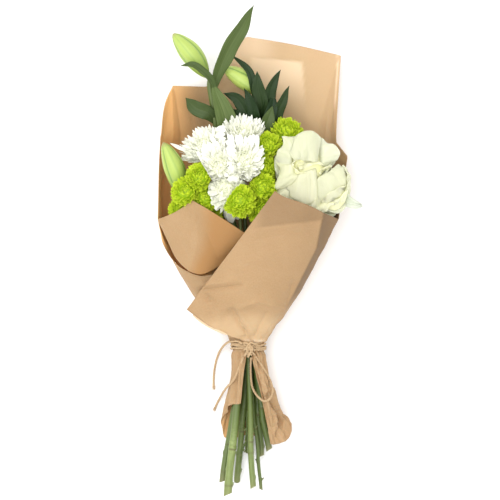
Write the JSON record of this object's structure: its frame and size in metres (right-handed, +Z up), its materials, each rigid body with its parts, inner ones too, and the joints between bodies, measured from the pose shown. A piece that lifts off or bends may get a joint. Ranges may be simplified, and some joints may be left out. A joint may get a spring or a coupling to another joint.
{
  "type": "mixed flower bouquet",
  "caption": "Hand-tied mixed bouquet of roses, chrysanthemums and lily buds in a folded kraft paper wrap with a jute twine bow, lying on its back.",
  "frame": {"origin": "on the table, under the middle of the bouquet's length and width", "axes": "+Z up from the table, +Y along the bouquet from the cut stems to the flowers, +X to the right when seen from above"},
  "size_m": [0.2353, 0.5678, 0.1124],
  "materials": {
    "kraft_paper": "matte",
    "jute": "fibrous",
    "rose_petal": "soft satin",
    "white_floret": "soft satin",
    "green_floret": "soft satin",
    "lily_bud": "satin",
    "stem": "satin",
    "lily_leaf": "satin"
  },
  "bodies": {
    "root": {"kraft_paper_wrap": "kraft_paper", "twine_tie": "jute", "twine_tail_left": "jute", "twine_tail_front": "jute", "twine_bow_loop": "jute", "rose_1_bloom": "rose_petal", "rose_2_bloom": "rose_petal", "white_spray_1_bloom_1": "white_floret", "white_spray_1_bloom_2": "white_floret", "white_spray_2_bloom_1": "white_floret", "white_spray_2_bloom_2": "white_floret", "white_spray_2_bloom_3": "white_floret", "green_spray_1_bloom_1": "green_floret", "green_spray_1_bloom_2": "green_floret", "green_spray_1_bloom_3": "green_floret", "green_spray_1_bloom_4": "green_floret", "green_spray_1_bloom_5": "green_floret", "green_spray_2_bloom_1": "green_floret", "green_spray_2_bloom_2": "green_floret", "green_spray_2_bloom_3": "green_floret", "green_spray_2_bloom_4": "green_floret", "green_spray_2_bloom_5": "green_floret", "green_spray_2_bloom_6": "green_floret", "lily_bud_1": "lily_bud", "lily_bud_2": "lily_bud", "lily_bud_3": "lily_bud", "rose_1_stem": "stem", "rose_2_stem": "stem", "white_spray_1_stem": "stem", "white_spray_2_stem": "stem", "green_spray_1_stem": "stem", "green_spray_2_stem": "stem", "lily_1_stem": "lily_leaf", "lily_2_stem": "lily_leaf"}
  },
  "joints": []
}
